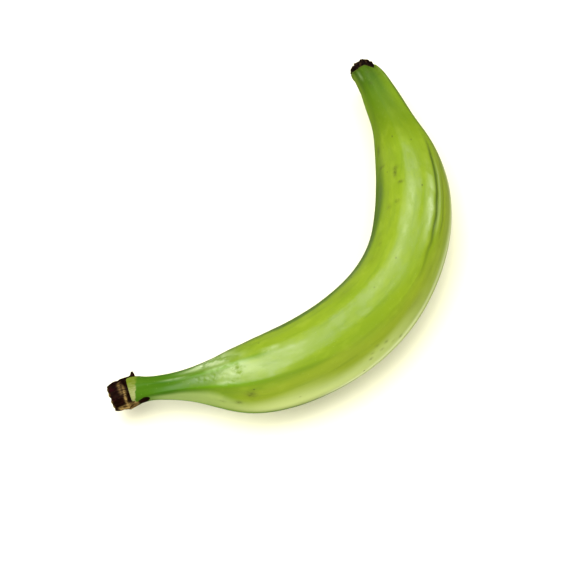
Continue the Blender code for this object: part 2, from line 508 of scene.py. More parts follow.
def green_plantain_peel(look):
    """Living plantain peel, grown: waxy skin over fibres that run lengthwise. The eye sees a
    soft broken sheen, a green that yellows over the belly, faint streaks and small scars."""
    # The coat has the IOR of plant wax. The skin under it mirrors little, so its own is low.
    material, put, into = blank(
        "green_plantain_peel_waxy", IOR=1.19, Coat_Roughness=0.22, Coat_IOR=1.45)
    (along, ridge, olive, shade, flank, rubbed, crease, bloom, flesh, pale, scar, wax, sunned) = (
        put("Attribute", output="Fac", attribute_name=key)
        for key in ("along", "ridge", "olive", "shade", "flank", "rubbed", "crease", "bloom",
                    "flesh", "pale", "scar", "wax", "sunned"))
    # Ripening patches, fibre streaks, mottling, lumps, grain, pulp fibres, frayed scar edges,
    # clouds that group the flecks, pores and flecks.
    patches, streaks, mottle, lumps, grain, pulp, frayed, clouds, pores, flecks = patterns(
        put, ("TexNoise", (22, 22, 48), 2.0), ("TexNoise", (2.4, 2.4, 30), 3.0),
        ("TexNoise", (5, 5, 9), 4.0), ("TexNoise", (9, 9, 16), 2.0),
        ("TexNoise", (0.7, 0.7, 2.2), 3.0), ("TexNoise", (0.35, 0.35, 3.0), 3.0),
        ("TexNoise", (0.5, 0.5, 1.1), 4.0), ("TexNoise", (15, 15, 22), 3.0),
        ("TexVoronoi", (1.7, 1.7, 2.6), 0.0), ("TexVoronoi", (5.5, 5.5, 8), 0.0))

    # How much of what lies over the green, where more than one pattern or mask has a say.
    ripe = put("MapRange", (along, 0.10, 0.22))
    less = put("MapRange", (along, 0.80, 0.88, 1.0, 0.2))
    ripe = put("Math", (ripe, less), **TIMES)
    yellow = put("MapRange", (patches, 0.42, 0.66, 0.0, 0.45), **SOFT)
    mottled = put("MapRange", (mottle, 0.48, 0.72, 0.0, 0.28), **SOFT)
    torn = put("MapRange", (mottle, 0.40, 0.56, 0.25), **SOFT)
    torn_bloom_and_gleam = put("Math", (bloom, torn), **TIMES)
    near = put("MapRange", (flecks, 0.055, 0.10, 0.7, 0.0), **SOFT)
    cloudy = put("MapRange", (clouds, 0.52, 0.6))
    uneven = put("MapRange", (frayed, 0.36, 0.60, 0.4), **SOFT)
    crest = put("ValToRGB", {"Fac": along}, stops=(
        (0.10, "2f5a02"), (0.90, "3d5d06"), (0.19, "5a8407"), (0.30, "54700d"),
        (0.60, "5a6e14")))

    # Colour: the green along the fruit, then each layer over it, from broad to small: where it
    # lies, how much of it there, and its colour.
    green = put("ValToRGB", {"Fac": along}, stops=(
        (0.09, look.neck), (0.97, look.tip), (0.145, "416705"), (0.235, look.belly),
        (0.79, look.belly), (0.82, "657c0a"), (0.87, "4f6a04"), (0.92, "406002")))
    for where, share, colour in (
            (yellow, ripe, look.ripening),
            (olive, 0.6, look.olive),
            (put("MapRange", (streaks, 0.50, 0.72), **SOFT), 0.22, "4c6b0d"),
            (mottled, ripe, "86992b"),
            # Painted light: the sides near the tip made lighter.
            (sunned, 0.3, "88a01c"),
            # Painted light: a pale strip low outside the bend, for light the table throws up and
            # mirrors.
            (flank, 0.85, look.flank),
            # Painted shade: deeper green darkened inside the bend, and dark lines low outside it
            # and beside the neck's ridge.
            (shade, 0.92, look.shaded),
            # Painted reflection: a pale line along the outermost skin, and a thin pale line beside
            # the crease.
            (rubbed, 1.0, "e2eac0"),
            (put("MapRange", (ridge, 0.1, 1.0), **SOFT), 0.6, crest),
            # Painted shade: the crease outside the bend, and a fainter line beside it, darkened.
            (crease, 0.95, "3a4e05"),
            # Painted highlight: pale patches where the sheen gleams, partly waxy bloom.
            (torn_bloom_and_gleam, 0.55, look.bloom),
            (put("MapRange", (pores, 0.06, 0.16, 1.0, 0.0), **SOFT), 0.2, "949e54"),
            (near, cloudy, look.scar),
            (scar, uneven, look.scar)):
        amount = put("Math", (where, share), **TIMES)
        green = put("Mix", {AMOUNT: amount, BELOW: green, ABOVE: colour}, **MIXED)
    fibrous = put("MapRange", (pulp, 0.38, 0.66, -0.25, 0.25))
    paler = put("Math", (pale, fibrous), use_clamp=True)
    lip = put("Mix", {AMOUNT: paler, BELOW: "5c6c0e", ABOVE: look.cut}, **MIXED)
    into("Base Color", put("Mix", {AMOUNT: flesh, BELOW: green, ABOVE: lip}, **MIXED))

    # Gloss: soft under the wax, and wax where the masks say, thinner in places.
    sheen = put("MapRange", (streaks, 0.35, 0.70, 0.40, 0.50))
    rougher = put("Math", (flesh, 0.2), **TIMES)
    into("Roughness", put("Math", (sheen, rougher)))
    thin = put("MapRange", (mottle, 0.36, 0.62, 1.05, 0.45), **SOFT)
    worn = put("MapRange", (lumps, 0.40, 0.60, 1.06, 0.72), **SOFT)
    matt_crest = put("MapRange", (ridge, 0.0, 1.0, 1.0, 0.3))
    coat = put("Math", (put("Math", (thin, worn), **TIMES), matt_crest), **TIMES)
    coat = put("Math", (coat, put("Math", (torn_bloom_and_gleam, 0.3), **TIMES)))
    coat = put("Math", (coat, wax), **TIMES)
    into("Coat Weight", put("Math", (coat, look.wax), use_clamp=True, **TIMES))
    normal = put("Bump", {"Height": lumps, "Distance": 0.45 * MM})
    for pattern, depth in ((mottle, 0.12), (streaks, 0.05), (grain, 0.03)):
        normal = put("Bump", {"Height": pattern, "Distance": depth * MM, "Normal": normal})
    into("Normal", normal)
    return material


def dried_crown_wood(look):
    """Crown of the bunch, cut and dried: dark woody fibre, red brown in places, which shows as a
    broken satin black with tan where it is worn or split. The red brown streaks are partly painted
    glints, and the tan on the collar's raised edge partly painted highlight."""
    # Porous dry fibre hardly mirrors, so its IOR is low.
    material, put, into = blank("dried_crown_wood_cut", IOR=1.09)
    worn = put("Attribute", output="Fac", attribute_name="worn")
    fibres, blotch = patterns(
        put, ("TexNoise", (0.5, 0.5, 4.0), 4.0), ("TexNoise", (2.6, 2.6, 4.0), 3.0))
    # Red brown fibre streaks, partly painted glints.
    reddish_and_glints = put("MapRange", (fibres, 0.42, 0.66), **SOFT)
    wood = put("Mix", {AMOUNT: reddish_and_glints, BELOW: look.crown_dark, ABOVE: look.crown_red_and_glint}, **MIXED)
    patch = put("MapRange", (blotch, 0.52, 0.70, 0.0, 0.6), **SOFT)
    wood = put("Mix", {AMOUNT: patch, BELOW: wood, ABOVE: "25050a"}, **MIXED)
    paler = put("MapRange", (fibres, 0.35, 0.65), **SOFT)
    tan = put("Mix", {AMOUNT: paler, BELOW: "4a3518", ABOVE: look.crown_tan}, **MIXED)
    broken = put("MapRange", (fibres, 0.30, 0.55, 0.35), **SOFT)
    amount = put("Math", (worn, broken), **TIMES)
    into("Base Color", put("Mix", {AMOUNT: amount, BELOW: wood, ABOVE: tan}, **MIXED))
    into("Roughness", put("MapRange", (blotch, 0.35, 0.7, 0.42, 0.72)))
    normal = put("Bump", {"Height": blotch, "Distance": 0.5 * MM})
    into("Normal", put("Bump", {"Height": fibres, "Distance": 0.25 * MM, "Normal": normal}))
    return material


def withered_flower(look):
    """Flower parts left on the tip, withered and dried: black brown scraps, matt, with paler
    frayed edges; the browner patches are partly painted glints."""
    material, put, into = blank("withered_flower_dried", IOR=1.09, Roughness=0.62)
    frayed = put("Attribute", output="Fac", attribute_name="worn")
    (scraps,) = patterns(put, ("TexNoise", (0.9, 0.9, 1.4), 4.0))
    # Browner patches, partly painted glints.
    browner_and_glints = put("MapRange", (scraps, 0.40, 0.68), **SOFT)
    scrap = put("Mix", {AMOUNT: browner_and_glints, BELOW: look.flower_dark, ABOVE: look.flower_brown_and_glint},
                **MIXED)
    amount = put("Math", (frayed, browner_and_glints), **TIMES)
    into("Base Color", put("Mix", {AMOUNT: amount, BELOW: scrap, ABOVE: "5a4226"}, **MIXED))
    into("Normal", put("Bump", {"Height": scraps, "Distance": 0.4 * MM}))
    return material


# ---------------------------------------------------------------- the pieces' surfaces

# Shallow dents, and low swellings where the depth is negative: distance (mm), angle, half
# length (mm), half width (degrees), depth (mm).
DENTS = (
    (13.5, -85, 3.6, 40, -0.9),
    (48, 14, 10, 9, -0.32),
    (270, -80, 11, 45, 0.7),
    (284, 85, 16, 40, -0.8),
    (298, -88, 13.5, 45, 1.8),
    (303.3, -85, 1.6, 45, -1.3),
    (297, 62, 6.5, 26, -0.4),
    (75, 97, 26, 24, -0.45),
    (134, 97, 33, 26, -1.75),
    (190, 90, 14, 24, -0.4),
    (247, 66, 10, 20, -0.4),
    (96, 62, 9, 11, 0.22),
    (168, 8, 12, 9, 0.16),
    (221, -48, 7, 10, 0.22),
    (128, -58, 10, 12, 0.2),
    (262, 30, 6, 14, 0.14),
    (118, 118, 10, 12, 0.25),
    (200, 190, 14, 16, 0.2),
)

# Lobes of the rim at the tip, and its notch: angle, half width (degrees), height (mm).
RIM_LOBES = ((-88, 28, 1.2), (-2, 16, 0.8), (64, 22, 2.0), (29, 13, -2.1))

# Small brown scars: distance (mm), angle, half length (mm), half width (degrees), strength.
SCARS = (
    (225, -32.5, 2.8, 3.6, 0.85),
    (229, -31, 0.8, 6, 0.8),
    (217, -24, 0.9, 4.5, 0.9),
    (205.5, -28.5, 0.8, 5, 0.8),
    (203, -42, 1.4, 4, 0.5),
    (249, -70, 2.6, 6, 0.8),
    (235, -61, 1, 7, 0.8),
    (72, 48, 2.4, 5.5, 0.8),
    (66, 65, 1.4, 4, 0.7),
    (58.5, 67, 1.6, 3, 0.35),
    (145, 80, 0.9, 2.2, 0.7),
    (141, 75, 0.7, 1.8, 0.6),
    (137.5, 66, 0.9, 2.2, 0.7),
    (134, 72, 0.6, 1.6, 0.6),
    (132, 60, 0.7, 1.8, 0.6),
    (129, 66, 0.6, 1.6, 0.5),
    (127.5, 73, 0.8, 2, 0.7),
    (122, 68, 0.6, 1.6, 0.5),
    (168, -38, 6, 7, 0.25),
    (182, -46, 5, 6, 0.22),
    (138, -36, 6, 6, 0.2),
    (160, 57, 7, 7, 0.2),
    (178, -40, 1.1, 3.4, 0.5),
    (146, 118, 2.2, 2.6, 0.6),
    (112, 140, 1.4, 5, 0.5),
    (171, 172, 5, 1.6, 0.6),
    (90, -120, 3, 2, 0.5),
    (205, -140, 6, 1.4, 0.5),
    (290.5, -18, 0.7, 5, 0.5),
    (295, 24, 0.6, 6, 0.45),
    (297.5, -6, 0.5, 8, 0.4),
)

# Patches of waxy bloom with painted highlight, paler and smoother, some of them crinkled: distance
# (mm), angle, half length (mm), half width (degrees), strength, how crinkled.
BLOOM_AND_GLEAM = (
    (57, 9, 9, 7, 0.3, 1),
    (65.5, 8, 4, 11, 0.3, 1.4),
    (78, 5, 12, 11, 0.25, 0.3),
    (62.5, 23, 5, 4, 0.5, 1),
    (47, -32, 8, 9, 0.7, 1.1),
    (55, -42, 9, 14, 0.9, 1.2),
    (60, -24, 9, 8, 0.7, 1),
    (34, -8, 6, 5, 0.5, 0.3),
    (57, -7, 6, 5, 0.5, 0.4),
    (67, -7, 7, 6, 0.5, 0.3),
    (70, 3, 10, 9, 0.3, 0.8),
    (87, -15, 5, 4, 0.7, 0),
    (100, 2, 10, 8, 0.2, 0.1),
    (150, -6, 9, 6, 0.2, 0),
    (170, -6, 9, 5, 0.2, 0),
    (187, -8, 10, 5, 0.3, 0),
    (208, -7, 10, 6, 0.4, 0),
    (207, 23, 15, 5, 0.7, 0),
    (298, -40, 2.6, 6, 0.25, 0),
    (297, 42, 6, 7, 0.25, 0),
)

# Where the coat of wax is thinner: distance (mm), angle, half length (mm), half width
# (degrees), how much is missing.
THIN_WAX = (
    (34, 7, 8, 9, 0.7),
    (46, 27, 14, 10, 0.85),
    (60, 12, 12, 14, 0.35),
    (76, 6, 14, 12, 0.2),
    (207, -27, 10, 8, 0.5),
)

# The crease beside the ridge outside the bend, the painted reflection along the outermost skin,
# and the gap between the two gleams: distances (mm) and the angles there.
CREASE = ((155, 170, 176, 183, 205, 215, 228, 235, 247, 256),
          (41, 39, 35.5, 34, 33, 32.7, 33.5, 34.5, 40, 44))
RIM_GLEAM_PATH = ((98, 120, 135, 150, 165, 185, 205, 220, 235),
          (92, 90, 87, 85, 83, 79, 77, 76, 71))
WAX_GAP = ((195, 207, 230), (9, 9.7, 15))

# The deeper green and painted shade inside the bend: distances (mm), the angles where it starts,
# its strength.
INNER_STARTS = ((60, 90, 108, 120, 150), (46, 48, 44, 44, 51))
INNER_STRENGTH = ((30, 42, 54, 64, 82, 94), (0, 0.9, 0.8, 0.45, 0.5, 0.9))


def flesh_edge(angle):
    """Distance (mm) at which the green skin starts: a ragged wedge, long on the inside."""
    return 13.9 + lobes(angle, (-1.7, 1, 0.0), (0.28, 4, 1.0), (0.20, 11, 0.0), (0.12, 23, 2.0))


def crest_lines(distance, angle):
    """How near a crest the skin is, from 0 to 1: thin bells that come and go along the fruit."""
    neck = between(distance, 17, 27, 74, 104)
    lower = 0.75 * between(distance, 60, 72, 100, 130)
    tip = between(distance, 238, 258, 288, 300)
    wide = 1.9 + 3.0 * np.maximum(neck, 1.2 * lower) + 1.6 * tip
    total = 0.0
    for order, crest in enumerate(wandering(distance)):
        strength = np.maximum(neck, np.maximum(RIDGES[order][2], 0.4 * tip))
        if order == LINED_RIDGE:
            strength = np.maximum(strength, lower)
        total = total + strength * facing(crest, wide, angle)
    return np.clip(total, 0.0, 1.0) * smooth(15, 24, distance)


def creased(distance, angle):
    """How near the crease outside the bend the skin is, from 0 to 1: a thin, uneven bell, and
    a fainter one beside it."""
    uneven = 0.7 * np.sin(distance / 2.1) * smooth(225, 195, distance)
    path = np.interp(distance, *CREASE) + uneven
    first = facing(path, 2.8, angle) * between(distance, 156, 206, 232, 252)
    second = 0.5 * facing(path + 13.5, 1.8, angle) * between(distance, 184, 200, 216, 232)
    return first + second


def skin_relief(distance, angle, skin):
    """Small rises of the skin (mm): long waves, flutes that run lengthwise, crinkles on the
    neck's faces, pleats at the tip and a few shallow dents."""
    waves = 0.11 * ripple(skin, (17.0, 17.0, 62.0), seed=11)
    flutes = 0.035 * ripple(skin, (5.0, 5.0, 95.0), seed=12) * smooth(60, 100, distance)
    faces = spots([row[:4] + row[5:] for row in BLOOM_AND_GLEAM], distance, angle)
    faces = faces * (0.35 + 0.65 * smooth(-0.4, 0.7, ripple(skin, (7.0, 7.0, 9.0), seed=17)))
    crinkles = 0.22 * faces * ripple(skin, (2.3, 2.3, 3.4), seed=13, waves=9)
    crests = 0.22 * crest_lines(distance, angle) - 0.3 * creased(distance, angle)
    turned = np.radians(angle)
    folds = 0.5 + 0.5 * np.sin(7 * turned + 0.6 * np.sin(3 * turned))
    pleats = 0.30 * smooth(292, 302.5, distance) * folds ** 3
    rises = (waves + flutes + crinkles + crests) * smooth(11, 20, distance)
    return rises - pleats - spots(DENTS, distance, angle)


def rim_shift(angle):
    """How far the rim at the tip reaches past its plain end (mm): it slants, longest on the
    inside of the bend, with a notch and a lobe beside each other on the outside."""
    slant = lobes(angle, (-2.5, 1, 0.17), (0.12, 9, 0.0), (0.1, 14, 1.0)) - 0.8
    return slant + sum(height * facing(way, wide, angle) for way, wide, height in RIM_LOBES)


def painted_table_light_mask(rows, outward):
    """Painted light from the table: a pale strip low on the outside, whose start and spread shift
    along the fruit.
    """
    starts = (48.0 - 16.0 * smooth(24, 40, rows) + 28.0 * smooth(50, 72, rows)
              - 5.0 * smooth(76, 106, rows) - 8.0 * smooth(135, 175, rows))
    spread = 26.0 + 12.0 * smooth(76, 110, rows)
    strength = 0.42 * smooth(15, 30, rows) + 0.55 * smooth(62, 76, rows)
    strength = strength * (1.0 - 0.75 * smooth(125, 175, rows)) * smooth(265, 235, rows)
    return smooth(0.0, 1.0, (outward - starts) / spread) * smooth(122, 104, outward) * strength


def inner_mask(rows, straight, wander):
    """The inside of the bend, where the green is deeper and painted shade falls: it rises inwards
    from an angle that shifts along the fruit.
    """
    starts = np.interp(rows, *INNER_STARTS)
    spread = 10.0 + 6.0 * smooth(118, 150, rows)
    rise = smooth(0.0, 1.0, (-straight + 0.3 * wander - starts) / spread)
    return rise * np.interp(rows, *INNER_STRENGTH)


def shade_mask(rows, straight, outward, inner):
    """Deeper green with painted shade inside the bend, where it softens towards the underside;
    painted shade in a thin line low outside the bend, and faintly beside the ridge on the neck."""
    inside = (inner * (1.0 - 0.5 * smooth(94, 140, -outward)) * smooth(175, 150, -outward)
              * (1.0 - 0.85 * smooth(214, 266, rows)))
    painted_contact_line = (bell(98.0, 9.0, straight) * between(rows, 42, 58, 125, 165)
                * (1.0 - 0.75 * smooth(98, 128, rows)))
    painted_shade_by_ridge = 0.2 * bell(84.0, 32.0, rows) * bell(32.0, 9.0, straight)
    return np.maximum(inside, painted_contact_line) + painted_shade_by_ridge


def painted_rim_gleam_and_line_mask(rows, turns):
    """Pale lines: a painted reflection along the outermost skin, and a thin pale line beside the
    crease.
    """
    wide = 4.0 + 2.5 * smooth(165, 190, rows)
    outermost = facing(np.interp(rows, *RIM_GLEAM_PATH), wide, turns) * between(rows, 92, 112, 226, 240)
    thin = facing(38.0, 2.0, turns) * between(rows, 188, 202, 222, 236)
    return 0.4 * outermost + 0.12 * thin


def wax_mask(rows, turns, outward):
    """The coat of wax: full over the belly, thinner in spots and in the gap between the two
    gleams, and gone round the sides."""
    wax = between(rows, 26, 38, 236, 258)
    for spot in THIN_WAX:
        wax = wax * (1.0 - spots([spot], rows, turns))
    gap = facing(np.interp(rows, *WAX_GAP), 4.2, turns) * between(rows, 190, 200, 222, 234)
    dull = turn(turns, 6.0 * smooth(208, 188, rows))
    wax = wax * (1.0 - 0.9 * gap) * (1.0 - 0.75 * smooth(34, 52, dull))
    return wax * smooth(80, 60, -outward)


def peel_masks(rows, turns, skin):
    """What the peel's material reads at each point, each from 0 to 1: rises and bells along
    the fruit and round it, some of them strayed by waves about 45 mm long."""
    straight = turn(turns, 0.0)
    wander = 6.0 * ripple(skin, (20.0, 20.0, 45.0), seed=15)
    outward = straight + wander
    inner = inner_mask(rows, straight, wander)
    bloom = spots([row[:5] for row in BLOOM_AND_GLEAM], rows, turns) * (1.0 - inner)
    scar = spots(SCARS, rows, turns) + 0.8 * bell(PEEL_END + 0.4, 0.7, rows)
    fading = 0.4 + 0.9 * smooth(-10.0, 50.0, -outward)
    return {
        "skin": skin,
        "along": rows / SPINE[-1, 0],
        "ridge": crest_lines(rows, turns),
        "olive": between(outward, 30, 46, 120, 150) * between(rows, 56, 78, 215, 262),
        "shade": shade_mask(rows, straight, outward, inner),
        "flank": painted_table_light_mask(rows, outward),
        "rubbed": np.clip(painted_rim_gleam_and_line_mask(rows, turns), 0.0, 1.0),
        "crease": creased(rows, turns),
        "bloom": np.clip(bloom, 0.0, 1.0),
        "flesh": smooth(1.0, -1.0, (rows - flesh_edge(turns)) / fading),
        "pale": smooth(-35, 35, straight),
        "scar": np.clip(scar, 0.0, 1.0),
        "wax": wax_mask(rows, turns, outward),
        # Painted light on the sides near the tip.
        "sunned": smooth(250, 284, rows) * (smooth(5, 42, outward) + smooth(48, 80, -outward)),
    }


def peel_surface(look):
    """The peel's points and masks: the ridged section plus the skin's relief, less the step
    of the stripped lip, with a rounded rim that turns in at the tip and closed ends."""
    angle = np.arange(look.around) * 360.0 / look.around
    outer = spaced(PEEL_RUNS)
    rows, turns = grid(outer, angle)
    skin = straightened(rows, turns)
    reach = ridged(rows, turns, wandering(rows))
    reach = reach * (1.0 - 0.05 * smooth(LIP_END, PEEL_START, rows))
    reach = reach + look.relief * skin_relief(rows, turns, skin)
    flesh = smooth(0.12, -0.12, rows - flesh_edge(turns))
    reach = reach - flesh * (LIP_STEP + 0.05 * ripple(skin, (0.9, 0.9, 3.0), seed=14))
    lean = np.clip((rows - LEAN_FROM) / (PEEL_END - LEAN_FROM), 0.0, 1.0) * rim_shift(turns)
    rolled = np.radians(np.linspace(12, 160, 12))
    rim = PEEL_END + RIM_ON * np.sin(rolled)
    rim_reach = reach[-1] - RIM_IN * (1.0 - np.cos(rolled))[:, None]
    first, last = np.full(len(START_RINGS), PEEL_START), np.full(len(END_RINGS), rim[-1])
    parts = (
        placed(first + 0.1, angle, START_RINGS),
        placed(outer, angle, reach, lean),
        placed(rim, angle, rim_reach, lean[-1]),
        placed(last - 0.3, angle, END_RINGS, lean[-1]),
    )
    rows, turns = grid(np.concatenate((first, outer, rim, last)), angle)
    skin = straightened(rows, turns)
    skin[-len(END_RINGS):, :, :2] *= END_RINGS[..., None] / 8.0
    return np.concatenate(parts), peel_masks(rows, turns, skin)


def stub_surface(look):
    """The cut stub's points and masks: its facets with a collar of worn fibre and painted
    highlight, splits and fibres, a rough cut face, and the tongue that runs on along the neck and
    sinks into it."""
    angle = np.arange(look.around) * 360.0 / look.around
    side = spaced(STUB_RUNS)
    rows, turns = grid(side, angle)
    skin = straightened(rows, turns)
    fibre = ripple(skin, (1.1, 1.1, 7.0), seed=21)
    lump = ripple(skin, (3.6, 3.6, 4.5), seed=22)
    # The cut block: a rounded edge, a collar and one split, rough outside the groove.
    groove = smooth(7.9, 9.0, rows)
    split = 0.45 * facing(24.0, 2.6, turns) * smooth(6.6, 3.0, rows)
    block = faceted(rows, turns) * (1.0 - 0.07 * smooth(0.7, 0.0, rows) ** 2)
    block = block + 0.30 * bell(7.4, 0.6, rows)
    block = block + (0.13 * fibre + 0.20 * lump - split) * (1.0 - groove)
    # The groove where the peel ends, and on the inside of the bend a swelling past it.
    sunken = 5.7 + 2.6 * facing(-80.0, 15.0, turns) * smooth(14.6, 13.6, rows)
    swelling = 3.4 * bell(13.5, 0.95, rows) * facing(-80.0, 13.0, turns)
    block = block + (sunken + np.minimum(swelling, 2.0) - block) * groove
    # The tongue, with a knob near its end, kept under the block until the groove.
    left = tongue(rows, turns) + 0.10 * fibre + 0.16 * lump
    left = left + 1.5 * bell(18.2, 3.4, rows) * facing(63.0, 32.0, turns)
    left = np.where(np.abs(turn(turns, TONGUE_ANGLE)) < 100.0, left, 0.0)
    reach = np.maximum(block, left - 6.0 * smooth(8.0, 6.4, rows))

    # The cut face: radial wood, a little hollow and uneven.
    uneven = -0.25 * lump[:1]
    cut = reach[:1] * CUT_RINGS
    flat = straightened(0.0 * cut, angle, cut)
    pith = 0.16 * ripple(flat, (1.3, 1.3, 5.0), seed=23)
    hollow = (uneven * CUT_RINGS - pith * (1.0 - CUT_RINGS ** 4)
              + 0.35 * (1.0 - CUT_RINGS ** 2))
    parts = (
        placed(np.zeros(len(CUT_RINGS)), angle, cut, hollow),
        placed(side, angle, reach, uneven * smooth(0.8, 0.0, rows)),
        placed(np.full(len(STUB_RINGS), side[-1] - 0.2), angle, STUB_RINGS),
    )

    # Where it is tan: worn fibre under the tongue and on the face's rim, and on the collar worn
    # fibre with painted highlight along its raised edge.
    outward = turn(turns, 0.0)
    collar_and_painted_gleam = 0.7 * bell(6.2, 0.8, rows) * between(outward, -55, -25, 5, 25)
    edge = bell(8.0, 0.6, rows + 0.6 * smooth(0, 50, outward))
    collar_and_painted_gleam = collar_and_painted_gleam + 1.7 * edge * between(outward, -30, 0, 70, 90)
    below = between(outward, 58, 70, 128, 150) * between(rows, 1.2, 3.4, 12.0, 14.5)
    rims = 0.5 * bell(0.35, 0.35, rows) * smooth(-0.3, 0.8, lump)
    worn = np.clip(collar_and_painted_gleam * (0.75 + 0.3 * fibre) + below + rims, 0.0, 1.0)
    face = 0.3 * smooth(0.0, 0.2, pith)
    return np.concatenate(parts), {
        "skin": np.concatenate((flat, skin, skin[-len(STUB_RINGS):])),
        "worn": np.concatenate((face, worn, worn[-len(STUB_RINGS):])),
    }


# Profile of the withered flower: distance (mm), half width (mm), how ragged it is there.
FLOWER = np.array((
    (298, 0.3, 0),
    (298, 5, 0),
    (298.7, 7, 0.1),
    (301, 7.6, 0.3),
    (303.2, 7.6, 0.8),
    (304.8, 7.4, 1),
    (306, 7, 1),
    (306.9, 6.2, 1),
    (307.4, 5.3, 1),
    (307.4, 4.4, 0.9),
    (306.9, 3, 0.6),
    (306.2, 1.8, 0.3),
    (306, 0.3, 0),
))

# Dried scraps on the flower: angle, reach (mm), start (mm), how far forward and outward they
# grow (mm), sideways turn (degrees), half width (mm).
SCRAPS = (
    (-62, 5.2, 303.9, 3, 0.9, 14, 1.7),
    (-18, 5.6, 304, 3.9, 1.2, -16, 1.5),
    (28, 5.7, 302.2, 2.9, 0.9, 10, 1.8),
    (74, 5.6, 301.4, 4, 1, -12, 1.4),
    (121, 5.6, 301.8, 3.3, 1.5, 18, 1.7),
    (176, 5.2, 303.8, 3.6, 1.1, 8, 1.5),
    (-122, 5, 304.2, 2.8, 0.9, -14, 1.6),
    (10, 2.6, 305.2, 2.6, 0.9, 40, 1),
    (-150, 2.2, 305.6, 2.9, 0.7, -36, 0.9),
)

# Loose fibres at the cut lip and on the stub, in the same terms.
FIBRES = (
    (38, 6.1, 9.6, 1.6, 0.9, 9, 0.22),
    (12, 6, 9.3, 1.3, 1.1, -12, 0.2),
    (-28, 6.9, 1.2, -1.5, 0.7, 8, 0.24),
    (61, 6.9, 1, -1.2, 0.9, -10, 0.26),
    (128, 6.6, 0.9, -1.3, 0.6, 7, 0.24),
)


def ragged(angle):
    """Lobes of the withered flower, from -1 to 1 round the ring."""
    return lobes(angle, (0.45, 2, 0.7), (0.35, 5, 0.2), (0.2, 9, 1.1))


def flower_surface():
    """The withered flower's lump: the profile turned round the axis, made ragged by lobes and
    by crumpled waves."""
    angle = np.arange(0.0, 360.0, 2.0)
    # The profile, finer, with its corners softened by a mean of five.
    place = np.linspace(0, len(FLOWER) - 1, 78)
    profile = [np.interp(place, np.arange(len(FLOWER)), column) for column in FLOWER.T]
    distance, wide, rough = (np.convolve(np.pad(column, 2, mode="edge"), np.full(5, 0.2), "valid")
                             for column in profile)
    rows, turns = grid(distance, angle)
    wide, rough = wide[:, None], rough[:, None]
    skin = straightened(rows, turns, wide)
    crumple = ripple(skin, (2.6, 2.6, 3.0), seed=31) + 0.6 * ripple(skin, (1.1, 1.1, 1.6), seed=32)
    drawn_in = (0.24 - 0.16 * smooth(303.5, 305.5, rows)) * facing(-92.0, 45.0, turns)
    reach = wide * (1.0 + 0.06 * rough * ragged(turns) - drawn_in) + 0.22 * rough * crumple
    lean = lobes(turns, (-1.0, 1, 0.17)) + 0.3 * rough * ragged(turns + 100.0)
    lean = lean + 1.5 * rough * facing(14.0, 24.0, turns)
    lean = lean + 0.30 * rough * ripple(skin, (2.2, 2.2, 3.0), seed=33)
    return placed(distance, angle, reach, lean), {
        "skin": skin, "worn": np.clip(0.45 * crumple * rough, 0.0, 1.0)}


def strip(row, thickness, columns=12):
    """A thin dried strip: an oval, flat towards the axis, carried along a path that leaves the
    fruit as the square of the way and narrows to its end, with a wavy edge."""
    angle, reach, start, forward_by, outward_by, sideways, half_width = row
    part = np.linspace(0.0, 1.0, 13)
    centre, _, outside, upward = axes(start + forward_by * part)
    turned = np.radians(angle + sideways * part)[:, None]
    out = outside * np.sin(turned) + upward * np.cos(turned)
    path = centre + out * (reach + outward_by * part ** 2)[:, None]
    forward = np.gradient(path, axis=0)
    forward /= np.linalg.norm(forward, axis=1, keepdims=True)
    side = np.cross(forward, out)
    side /= np.linalg.norm(side, axis=1, keepdims=True)
    over = np.cross(side, forward)
    narrowing = np.sqrt(np.clip(1.02 - part ** 2.5, 0.0, 1.0))
    width = half_width * narrowing * (1.0 + 0.22 * np.sin(11.0 * part + angle))
    thick = thickness * (0.35 + 0.65 * narrowing)
    around = np.arange(columns) * 2 * np.pi / columns
    points = (path[:, None] + side[:, None] * np.sin(around)[:, None] * width[:, None, None]
              + over[:, None] * np.cos(around)[:, None] * thick[:, None, None])
    skin = np.stack((np.sin(around) * width[:, None] + angle, 0.0 * around + thick[:, None],
                     (forward_by * part)[:, None] + 0.0 * around), -1)
    return points, {"skin": skin, "worn": 0.0 * around + part[:, None] ** 2}


# ---------------------------------------------------------------- what a user may change

def number(name, description, default, low, high, kind=bpy.props.FloatProperty, **more):
    """A number that a user may change, between its limits."""
    return kind(name=name, description=description, default=default, min=low, max=high, **more)


def tint(name, description, code):
    """A colour that a user may change."""
    return bpy.props.FloatVectorProperty(
        name=name, description=description, default=linear(code), size=4, subtype="COLOR")


class PlantainPeelLook(bpy.types.PropertyGroup):
    """Sizes and colours of the peel."""
    around: number("Points round", "Points of the mesh round the fruit", 256, 48, 256,
                   kind=bpy.props.IntProperty)
    relief: number("Relief", "Strength of the skin's small waves; 1 is as grown", 1.0, 0.0, 2.0)
    wax: number("Wax", "How much of the clear waxy coat shows", 1.0, 0.0, 1.0,
                subtype="FACTOR")
    neck: tint("Neck", "Green of the neck", "3a6102")
    belly: tint("Belly", "Yellower green of the belly", "6e8610")
    tip: tint("Tip", "Green of the tip", "335002")
    ripening: tint("Ripening", "Broad patches that turn yellow first", "7a8e17")
    olive: tint("Olive", "The side towards the outside of the bend", "7d8b1c")
    # Painted light: the pale strip where the table lights and mirrors the lower side.
    flank: tint("Flank", "Pale strip low on the outside of the bend", "b6c27c")
    # Pale patches of painted highlight, partly waxy bloom.
    bloom: tint("Bloom", "Patches of pale waxy bloom", "c0cfa0")
    # Deeper green of the inside of the bend, darkened further as painted shade.
    shaded: tint("Inner side", "Deeper green of the side inside the bend", "3c5907")
    scar: tint("Scar", "Small rubbed marks", "3f4510")
    cut: tint("Cut lip", "Pale flesh where the neck was cut", "898e58")


